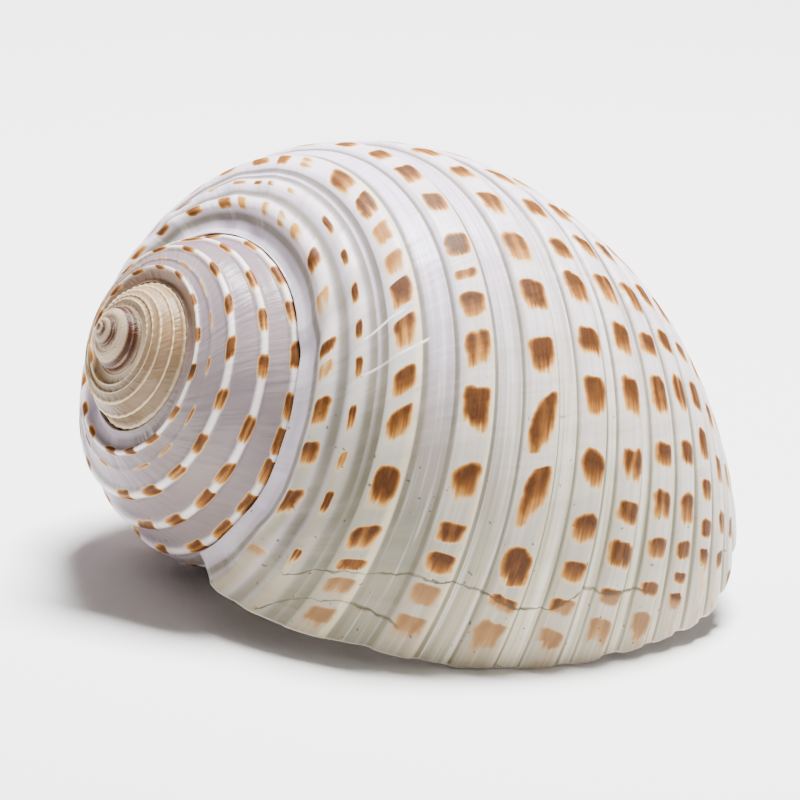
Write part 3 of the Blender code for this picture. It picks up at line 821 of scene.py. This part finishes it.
def shell_material(settings):
    """Porcelaneous aragonite: dense, hard and smooth, so it has a soft broad gloss."""
    material = bpy.data.materials.new("porcelain_shell")
    material.use_nodes = True
    tree = material.node_tree
    tree.nodes.clear()
    add = functools.partial(node, tree)
    soft = {"interpolation_type": "SMOOTHSTEP"}
    blend = {"output": 2, "data_type": "RGBA"}
    times = {"operation": "MULTIPLY"}

    spot, zone, crack, along_cracks = [
        add("SeparateXYZ", {0: add("Attribute", output=1, attribute_name=name)}).node.outputs
        for name in ("spot", "zone", "crack", "crack_ends")]
    phase, strength, off_middle = spot
    crown, turn, first_scratch = zone
    long_crack, short_crack, suture_shade = crack
    ends_of_long, ends_of_short, second_scratch = along_cracks
    lining = add("Attribute", output=2, attribute_name="lining")
    outside = add("MapRange", {"Value": lining, 3: 1.0, 4: 0.0})
    last_whorl = add("MapRange", {"Value": turn, 1: 0.60, 2: 0.90, 3: 1.0, 4: 0.0}, **soft)
    lines = add("UVMap", uv_map="growth_lines")
    station = add("SeparateXYZ", {0: lines}).node.outputs[1]
    place_mm = add("VectorMath", {0: add("TexCoord", output=3), 3: 1000.0}, operation="SCALE")

    # Uneven pigment in patches of 3 mm, greyer and paler areas of 10 mm, and growth lines 0.7 mm
    # and 3 mm apart by the lip, drawn as coarse as they need to show.
    patches = add("TexNoise", {"Vector": place_mm, "Scale": 0.33, "Detail": 2.5}, output=1)
    patch_x, patch_y, patch_z = add("SeparateColor", {0: patches}).node.outputs
    drift = add("TexNoise", {"Vector": place_mm, "Scale": 0.09, "Detail": 3.0})
    growth_space = add("Mapping", {"Vector": lines, "Scale": (420.0, 14.0, 1.0)})
    growth_lines = add("TexNoise", {"Vector": growth_space, "Scale": 1.0, "Detail": 3.0})
    broad_space = add("Mapping", {"Vector": lines, "Scale": (90.0, 6.0, 1.0)})
    broad_lines = add("TexNoise", {"Vector": broad_space, "Scale": 1.0, "Detail": 2.0})

    # Place in the spot: -1 at its younger end, 1 at its older end and at its sides. A spot is
    # a rounded square, sharp at the older end and fading out at the younger one.
    shifted = add("Math", {0: phase, 1: 0.5}, operation="ADD")
    whole = add("Math", {0: shifted}, operation="FLOOR")
    chance = add("TexWhiteNoise", {"W": whole}, output=1, noise_dimensions="1D")
    chance_end, chance_tone, chance_side = add("SeparateColor", {0: chance}).node.outputs
    part = add("Math", {0: shifted}, operation="FRACT")
    along = add("Math", {0: part, 1: 4.0, 2: -2.0}, operation="MULTIPLY_ADD")
    patch_along = add("MapRange", {"Value": patch_x, 1: 0.2, 2: 0.8, 3: -0.32, 4: 0.32})
    along = add("Math", {0: along, 1: patch_along}, operation="ADD")
    patch_across = add("MapRange", {"Value": patch_y, 1: 0.2, 2: 0.8, 3: -0.26, 4: 0.26})
    across = add("Math", {0: off_middle, 1: patch_across}, operation="ADD")
    lean = add("MapRange", {"Value": chance_side, 3: -0.15, 4: 0.15})
    along = add("Math", {0: across, 1: lean, 2: along}, operation="MULTIPLY_ADD")
    side = add("Math", {0: across}, operation="ABSOLUTE")
    off_along = add("Math", {0: add("Math", {0: along}, operation="ABSOLUTE"), 1: 3.4}, operation="POWER")
    off_across = add("Math", {0: side, 1: 3.4}, operation="POWER")
    reach = add("Math", {0: off_along, 1: off_across}, operation="ADD")
    reach = add("Math", {0: reach, 1: 0.294}, operation="POWER")
    sharp = add("MapRange", {"Value": along, 1: 0.0, 2: 0.9, 3: 0.60, 4: 0.86}, **soft)
    body = add("MapRange", {"Value": reach, 1: sharp, 2: 1.22, 3: 1.0, 4: 0.0})
    fade_end = add("MapRange", {"Value": chance_end, 3: -0.45, 4: 0.65})

    # Fibres along the rib, half a millimetre wide, fray the spot's younger end and streak it.
    fibre_space = add("Mapping", {"Vector": lines, "Scale": (14.0, 210.0, 1.0)})
    fibres = add("TexNoise", {"Vector": fibre_space, "Scale": 1.0, "Detail": 2.0})
    frayed = add("MapRange", {"Value": fibres, 1: 0.3, 2: 0.7, 3: -0.42, 4: 0.42})
    frayed = add("Math", {0: along, 1: frayed}, operation="ADD")
    young = add("MapRange", {"Value": frayed, 1: -1.30, 2: fade_end, 3: 0.12})
    mask = add("Math", {0: body, 1: young}, **times)
    pale = add("MapRange", {"Value": chance_tone, 1: 0.25, 2: 0.9, 3: 1.0, 4: 0.60})
    middle = add("MapRange", {"Value": side, 1: 0.05, 2: 0.50, 3: pale, 4: 1.0}, **soft)
    streaks = add("MapRange", {"Value": fibres, 1: 0.30, 2: 0.68, 3: 1.08, 4: 0.84})
    clouds = add("MapRange", {"Value": patch_z, 1: 0.3, 2: 0.7, 3: 0.86, 4: 1.14})
    on_rib = add("Math", {0: last_whorl, 1: -0.12, 2: crown}, operation="MULTIPLY_ADD")
    on_rib = add("MapRange", {"Value": on_rib, 1: 0.10, 2: 0.32}, **soft)
    mended = add("MapRange", {"Value": long_crack, 1: -0.8, 2: 0.2, 3: 1.0, 4: 0.0}, **soft)
    worn = add("MapRange", {"Value": mended, 3: 1.0, 4: 0.66})
    dark = mask
    for factor in (middle, streaks, clouds, strength, on_rib, worn, outside, settings.spot_strength):
        dark = add("Math", {0: dark, 1: factor}, **times)
    pigment = add("ValToRGB", {"Fac": dark}, stops=[
        (0.0, "#E4D2AE"), (1.0, "#452711"), (0.16, "#D8B47A"), (0.34, "#B98340"),
        (0.52, "#905C27"), (0.70, "#6B411C"), (0.86, "#543014")])
    faded = add("Math", {0: mended, 1: 0.65}, **times)
    pigment = add("Mix", {0: faded, 6: pigment, 7: linear("#86694A")}, **blend)
    inked = add("MapRange", {"Value": dark, 1: 0.0, 2: 0.30})

    # Grooves and crowns change colour from the lip back to the tip, over four turns. By the lip
    # the shoulder's grooves are greenish grey, the belly's cream, and the edge is lavender. Over
    # the last whorl the ramps are darkest by the lip, which lies lowest, and lightest half a turn
    # back on top: partly the shell's own colour, partly painted light and shade.
    back = add("Math", {0: turn, 1: 4.0}, operation="DIVIDE")
    shoulder = add("ValToRGB", {"Fac": back}, stops=[
        (0.025, "#777763"), (1.0, "#8E6E56"), (0.043, "#7A7867"), (0.056, "#978F87"),
        (0.075, "#BFB4C4"), (0.095, "#DCCFEC"), (0.125, "#E6D9F5"), (0.155, "#D6C8DC"),
        (0.21, "#97889A"), (0.265, "#7C6E6E"), (0.31, "#84777C"), (0.375, "#7E6B79"),
        # Painted shade: the dark stop at 0.50, two turns back, darkens the lowest side of the spire.
        (0.44, "#84694E"), (0.50, "#614828"), (0.575, "#8A6A48"), (0.63, "#9C7F5E"),
        (0.70, "#937650"), (0.79, "#B0967A"), (0.87, "#A08264")])
    belly = add("ValToRGB", {"Fac": back}, stops=[
        (0.025, "#C9C2A6"), (1.0, "#96858C"), (0.050, "#D1CAB0"), (0.063, "#E0D9CA"),
        (0.080, "#CDC2C6"), (0.10, "#CFBFD5"), (0.15, "#CFC1D1"), (0.28, "#8E8084")])
    on_belly = add("MapRange", {"Value": station, 1: 0.27, 2: 0.42}, **soft)
    on_belly = add("Math", {0: on_belly, 1: last_whorl}, **times)
    ground_tone_and_painted_light = add("Mix", {0: on_belly, 6: shoulder, 7: belly}, **blend)
    on_edge = add("MapRange", {"Value": station, 1: 0.03, 2: 0.15, 3: 0.85, 4: 0.0}, **soft)
    on_edge = add("Math", {0: on_edge, 1: last_whorl}, **times)
    ground_tone_and_painted_light = add("Mix", {0: on_edge, 6: ground_tone_and_painted_light, 7: linear("#C6BBCB")}, **blend)
    cords = add("ValToRGB", {"Fac": back}, stops=[
        (0.025, "#98917C"), (1.0, "#A08268"), (0.045, "#A69F8D"), (0.060, "#CFC8BE"),
        (0.078, "#D6CED0"), (0.095, "#E6DBE6"), (0.113, "#EFE3F1"), (0.15, "#E4D9E6"),
        (0.225, "#EEE4E6"), (0.325, "#F8EEEC"), (0.40, "#F2E2D2"), (0.475, "#D8BF92"),
        (0.65, "#DCC193"), (0.80, "#BBA486")])
    on_crown = add("MapRange", {"Value": crown, 1: 0.25, 2: 0.95}, **soft)
    base = add("Mix", {0: on_crown, 6: ground_tone_and_painted_light, 7: cords}, **blend)

    # Painted highlight: a bright cream line along the edge of each crown that is farther from the tip.
    flank = add("MapRange", {"Value": crown, 1: 0.25, 2: 0.75}, **soft)
    crest = add("MapRange", {"Value": crown, 1: 0.90, 2: 1.0, 3: 1.0, 4: 0.35}, **soft)
    farther = add("MapRange", {"Value": off_middle, 1: 0.6, 2: 1.0, 3: 0.0, 4: 0.48}, **soft)
    from_rib_g = add("MapRange", {"Value": station, 1: 0.12, 2: 0.16}, **soft)
    painted_highlight_line = flank
    for factor in (crest, farther, last_whorl, outside, from_rib_g):
        painted_highlight_line = add("Math", {0: painted_highlight_line, 1: factor}, **times)
    base = add("Mix", {0: painted_highlight_line, 6: base, 7: linear("#EFDDB4")}, **blend)

    # Fine spiral lines 0.8 mm apart, greenish grey and white, clearest in the grooves: partly the
    # shell's own striae, partly painted shade and highlight standing in for fine riblets.
    spiral_space = add("Mapping", {"Vector": lines, "Scale": (9.0, 120.0, 1.0)})
    spiral_lines = add("TexNoise", {"Vector": spiral_space, "Scale": 1.0, "Detail": 2.0})
    lined = add("MapRange", {"Value": station, 1: 0.11, 2: 0.32, 3: 0.12, 4: 1.0}, **soft)
    grooves = add("MapRange", {"Value": crown, 3: 1.0, 4: 0.35})
    for factor in (lined, last_whorl):
        grooves = add("Math", {0: grooves, 1: factor}, **times)
    greener_lines_and_shade = add("MapRange", {"Value": spiral_lines, 1: 0.36, 2: 0.50, 3: 0.40, 4: 0.0}, **soft)
    greener_lines_and_shade = add("Math", {0: greener_lines_and_shade, 1: grooves}, **times)
    base = add("Mix", {0: greener_lines_and_shade, 6: base, 7: linear("#858068")}, **blend)
    whiter_lines_and_highlight = add("MapRange", {"Value": spiral_lines, 1: 0.50, 2: 0.66, 3: 0.0, 4: 0.50}, **soft)
    whiter_lines_and_highlight = add("Math", {0: whiter_lines_and_highlight, 1: grooves}, **times)
    base = add("Mix", {0: whiter_lines_and_highlight, 6: base, 7: linear("#F0EAE6")}, **blend)

    # Painted shade: greenish grey in the corner between groove and rib, at the foot of each flank.
    painted_corner_shade = add("MapRange", {"Value": crown, 1: 0.0, 2: 0.08, 3: 0.0, 4: 0.85}, **soft)
    flank_top = add("MapRange", {"Value": crown, 1: 0.15, 2: 0.60, 3: 1.0, 4: 0.0}, **soft)
    for factor in (flank_top, last_whorl, outside):
        painted_corner_shade = add("Math", {0: painted_corner_shade, 1: factor}, **times)

    # Brown band along the foot of the first whorls.
    band = add("MapRange", {"Value": turn, 1: 2.65, 2: 3.0}, **soft)
    low = add("MapRange", {"Value": station, 1: 0.16, 2: 0.22}, **soft)
    below = add("MapRange", {"Value": station, 1: 0.33, 2: 0.40, 3: 1.0, 4: 0.45}, **soft)
    for factor in (low, below):
        band = add("Math", {0: band, 1: factor}, **times)

    # Dull areas, bands of growth, and a warmer tone where the lip was mended.
    mottle = add("MapRange", {"Value": drift, 1: 0.42, 2: 0.70, 3: 0.0, 4: 0.22})
    banding = add("MapRange", {"Value": broad_lines, 1: 0.46, 2: 0.72, 3: 0.0, 4: 0.22})
    mended_part = add("MapRange", {"Value": mended, 3: 0.0, 4: 0.10})
    # Mixed in here: the painted shade in the corners, then dull areas, bands of growth, the mended tone
    # and the brown band.
    for amount, colour in ((painted_corner_shade, "#68624E"), (mottle, "#AFA794"), (banding, "#9C9190"),
                           (mended_part, "#C2A98C"), (band, "#3E1E10")):
        base = add("Mix", {0: amount, 6: base, 7: linear(colour)}, **blend)

    # Tan along the upper edge of the older whorls, and cream on the first ones.
    older = add("MapRange", {"Value": turn, 1: 1.10, 2: 1.35}, **soft)
    tan_edge = add("MapRange", {"Value": station, 1: 0.02, 2: 0.07, 3: 0.75, 4: 0.0}, **soft)
    tan_edge = add("Math", {0: tan_edge, 1: older}, **times)
    first = add("MapRange", {"Value": turn, 1: 1.80, 2: 2.10}, **soft)
    tan = add("Mix", {0: first, 6: linear("#94765A"), 7: linear("#C8B296")}, **blend)
    base = add("Mix", {0: tan_edge, 6: base, 7: tan}, **blend)

    painted = add("Mix", {0: inked, 6: base, 7: pigment}, **blend)
    inner = add("Mix", {0: drift, 6: linear("#EFE8DF"), 7: linear("#E2D5C6")}, **blend)
    painted = add("Mix", {0: lining, 6: painted, 7: inner}, **blend)

    # Chalky scratches, patchy white lines 0.4 mm wide.
    for distance, last in ((first_scratch, 0.184), (second_scratch, 0.217)):
        off = add("Math", {0: distance}, operation="ABSOLUTE")
        patchy = add("MapRange", {"Value": patch_x, 1: 0.35, 2: 0.55, 3: 0.35, 4: 0.95})
        chalky = add("MapRange", {"Value": off, 1: 0.08, 2: 0.26, 3: patchy, 4: 0.0}, **soft)
        begun = add("MapRange", {"Value": station, 1: 0.108, 2: 0.118}, **soft)
        ended = add("MapRange", {"Value": station, 1: last - 0.01, 2: last, 3: 1.0, 4: 0.0}, **soft)
        for factor in (begun, ended, outside):
            chalky = add("Math", {0: chalky, 1: factor}, **times)
        painted = add("Mix", {0: chalky, 6: painted, 7: linear("#FBF9FA")}, **blend)

    # Painted shade: brown darkening in the suture, where shade falls between the whorls.
    suture_shade_amount = add("MapRange", {"Value": turn, 1: 1.7, 2: 2.2, 3: 0.65, 4: 0.15}, **soft)
    suture_shade_amount = add("Math", {0: suture_shade, 1: suture_shade_amount}, **times)
    painted = add("Mix", {0: suture_shade_amount, 6: painted, 7: linear("#553A28")}, **blend)

    # Greenish black specks of dirt by the lip, up to 0.4 mm wide.
    specks = add("TexNoise", {"Vector": place_mm, "Scale": 1.15, "Detail": 1.0})
    specks = add("MapRange", {"Value": specks, 1: 0.725, 2: 0.77, 3: 0.0, 4: 0.7}, **soft)
    by_lip = add("MapRange", {"Value": turn, 1: 0.20, 2: 0.34, 3: 1.0, 4: 0.0}, **soft)
    specks = add("Math", {0: specks, 1: by_lip}, **times)
    painted = add("Mix", {0: specks, 6: painted, 7: linear("#3F3C24")}, **blend)

    # Cracks: a dark line up to 0.4 mm wide that wavers by half a millimetre and is patchy.
    waver = add("TexNoise", {"Vector": place_mm, "Scale": 0.35, "Detail": 4.0})
    waver = add("MapRange", {"Value": waver, 3: -1.1, 4: 1.1})
    width = add("MapRange", {"Value": patch_z, 1: 0.40, 2: 0.62, 3: 0.17, 4: 0.42})
    depth = add("MapRange", {"Value": patch_x, 1: 0.35, 2: 0.60, 3: 0.55, 4: 0.95})
    for distance, there in ((long_crack, ends_of_long), (short_crack, ends_of_short)):
        off = add("Math", {0: distance, 1: waver}, operation="ADD")
        off = add("Math", {0: off}, operation="ABSOLUTE")
        line = add("MapRange", {"Value": off, 1: 0.03, 2: width, 3: depth, 4: 0.0}, **soft)
        for factor in (there, settings.crack_strength):
            line = add("Math", {0: line, 1: factor}, **times)
        painted = add("Mix", {0: line, 6: painted, 7: linear("#4A3F28")}, **blend)

    # Growth lines and spiral lines in low relief, and a duller gloss on the pigment.
    relief = add("Bump", {"Height": growth_lines, "Strength": 0.30, "Distance": 0.00009})
    for height, distance in ((broad_lines, 0.00035), (whiter_lines_and_highlight, 0.0002)):
        relief = add("Bump", {"Height": height, "Strength": 0.5, "Distance": distance, "Normal": relief})
    rough = add("MapRange", {"Value": patch_z, 3: 0.24, 4: 0.36})
    rough = add("Math", {0: inked, 1: 0.30, 2: rough}, operation="MULTIPLY_ADD")
    surface = add("BsdfPrincipled", {
        "Base Color": painted, "Roughness": rough, "IOR": 1.40, "Specular IOR Level": 0.22,
        "Normal": relief, "Subsurface Weight": 0.10, "Subsurface Radius": (1.0, 0.8, 0.6),
        "Subsurface Scale": 0.0012, "Coat Weight": 0.03, "Coat Roughness": 0.22, "Coat IOR": 1.40})
    add("OutputMaterial", {"Surface": surface})
    return material


def paper_material(colour):
    """Matt paper: even and pale, so it shows only the soft shadow under the shell."""
    material = bpy.data.materials.new("matt_paper")
    material.use_nodes = True
    surface = material.node_tree.nodes["Principled BSDF"]
    surface.inputs["Base Color"].default_value = colour
    surface.inputs["Roughness"].default_value = 0.85
    return material


class ShellSettings(bpy.types.PropertyGroup):
    """What a user would change on the shell."""
    spot_strength: bpy.props.FloatProperty(
        name="Spot strength", description="How dark the brown spots are", default=1.0, min=0.0, max=1.0,
        subtype="FACTOR")
    crack_strength: bpy.props.FloatProperty(
        name="Crack strength", description="How dark the mended cracks are", default=1.0, min=0.0, max=1.0,
        subtype="FACTOR")


class StageSettings(bpy.types.PropertyGroup):
    """The floor, the lights and the camera."""
    floor_size: bpy.props.FloatProperty(
        name="Floor size", description="Side of the square floor", default=6.0, min=1.0,
        subtype="DISTANCE", unit="LENGTH")
    floor_colour: bpy.props.FloatVectorProperty(
        name="Floor colour", description="Colour of the paper floor", size=4, subtype="COLOR",
        default=linear("#F3F2F1"), min=0.0, max=1.0)
    key_power: bpy.props.FloatProperty(
        name="Key light", description="Power of the large light above", default=21.5, min=0.0,
        subtype="POWER", unit="POWER")


class TUNSHELL_OT_grow_shell(bpy.types.Operator):
    """Grow the whole spotted shell as one closed surface"""
    bl_idname = "tun_shell.grow_shell"
    bl_label = "Grow shell"

    def execute(self, context):
        shell = bpy.data.objects.new("tun_shell", shell_mesh())
        shell.data.materials.append(shell_material(context.scene.tun_shell))
        context.scene.collection.objects.link(shell)
        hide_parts("shell")
        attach(shell, "root")
        return {"FINISHED"}


def add_light(name, power, size, place_m, aim_m, colour):
    """A square area light at a place, turned towards its aim."""
    data = bpy.data.lights.new(name, "AREA")
    data.energy = power
    data.size = size
    data.color = linear(colour)[:3]
    light = bpy.data.objects.new(name, data)
    light.location = place_m
    light.rotation_euler = (Vector(aim_m) - Vector(place_m)).to_track_quat("-Z", "Y").to_euler()
    bpy.context.scene.collection.objects.link(light)


class TUNSHELL_OT_set_stage(bpy.types.Operator):
    """Add the pale floor, the soft lights and the camera"""
    bl_idname = "tun_shell.set_stage"
    bl_label = "Set stage"

    def execute(self, context):
        settings = context.scene.tun_stage
        half = settings.floor_size / 2
        side = np.linspace(-half, half, 5)
        x, y = np.meshgrid(side, side)
        points = np.stack([x, y, np.zeros_like(x)], -1).reshape(-1, 3)
        net = np.arange(25).reshape(5, 5)
        faces = np.stack([net[:-1, :-1], net[:-1, 1:], net[1:, 1:], net[1:, :-1]], -1).reshape(-1, 4)
        mesh = bpy.data.meshes.new("floor")
        mesh.from_pydata(points, [], faces.tolist())
        mesh.materials.append(paper_material(settings.floor_colour))
        floor = bpy.data.objects.new("floor", mesh)
        context.scene.collection.objects.link(floor)

        world = bpy.data.worlds.new("studio_air")
        context.scene.world = world
        world.use_nodes = True
        sky = world.node_tree.nodes["Background"]
        sky.inputs["Color"].default_value = linear("#F4F5F8")
        sky.inputs["Strength"].default_value = SKY_STRENGTH
        fill_power = settings.key_power * FILL_PART
        add_light("key", settings.key_power, KEY_SIZE, KEY_PLACE, CAMERA_AIM, "#FFFFFF")
        add_light("fill", fill_power, FILL_SIZE, FILL_PLACE, CAMERA_AIM, "#FFF9F2")

        camera = bpy.data.cameras.new("camera")
        camera.lens = CAMERA_LENS
        camera.clip_end = 20.0
        eye = bpy.data.objects.new("camera", camera)
        azimuth, elevation = math.radians(CAMERA_AZIMUTH), math.radians(CAMERA_ELEVATION)
        turn = (Matrix.Rotation(azimuth, 4, "Z") @ Matrix.Rotation(math.pi / 2 - elevation, 4, "X")
                @ Matrix.Rotation(math.radians(CAMERA_ROLL), 4, "Z"))
        back = Matrix.Translation((0, 0, CAMERA_DISTANCE))
        eye.matrix_world = Matrix.Translation(CAMERA_AIM) @ turn @ back
        context.scene.collection.objects.link(eye)
        context.scene.camera = eye
        return {"FINISHED"}


class TUNSHELL_PT_sidebar(bpy.types.Panel):
    """The settings and the buttons that build the scene"""
    bl_idname = "TUNSHELL_PT_sidebar"
    bl_label = "Tun shell"
    bl_space_type = "VIEW_3D"
    bl_region_type = "UI"
    bl_category = "Tun shell"

    def draw(self, context):
        for settings in (context.scene.tun_shell, context.scene.tun_stage):
            for name in settings.bl_rna.properties.keys():
                if name not in ("rna_type", "name"):
                    self.layout.prop(settings, name)
        for operator in OPERATORS:
            self.layout.operator(operator.bl_idname)


OPERATORS = (TUNSHELL_OT_grow_shell, TUNSHELL_OT_set_stage)
CLASSES = (ShellSettings, StageSettings) + OPERATORS + (TUNSHELL_PT_sidebar,)


def register():
    for item in CLASSES:
        bpy.utils.register_class(item)
    bpy.types.Scene.tun_shell = bpy.props.PointerProperty(type=ShellSettings)
    bpy.types.Scene.tun_stage = bpy.props.PointerProperty(type=StageSettings)


def unregister():
    del bpy.types.Scene.tun_stage
    del bpy.types.Scene.tun_shell
    for item in reversed(CLASSES):
        bpy.utils.unregister_class(item)


def main():
    register()
    bpy.ops.tun_shell.grow_shell()
    bpy.ops.tun_shell.set_stage()


if __name__ == "__main__":
    main()
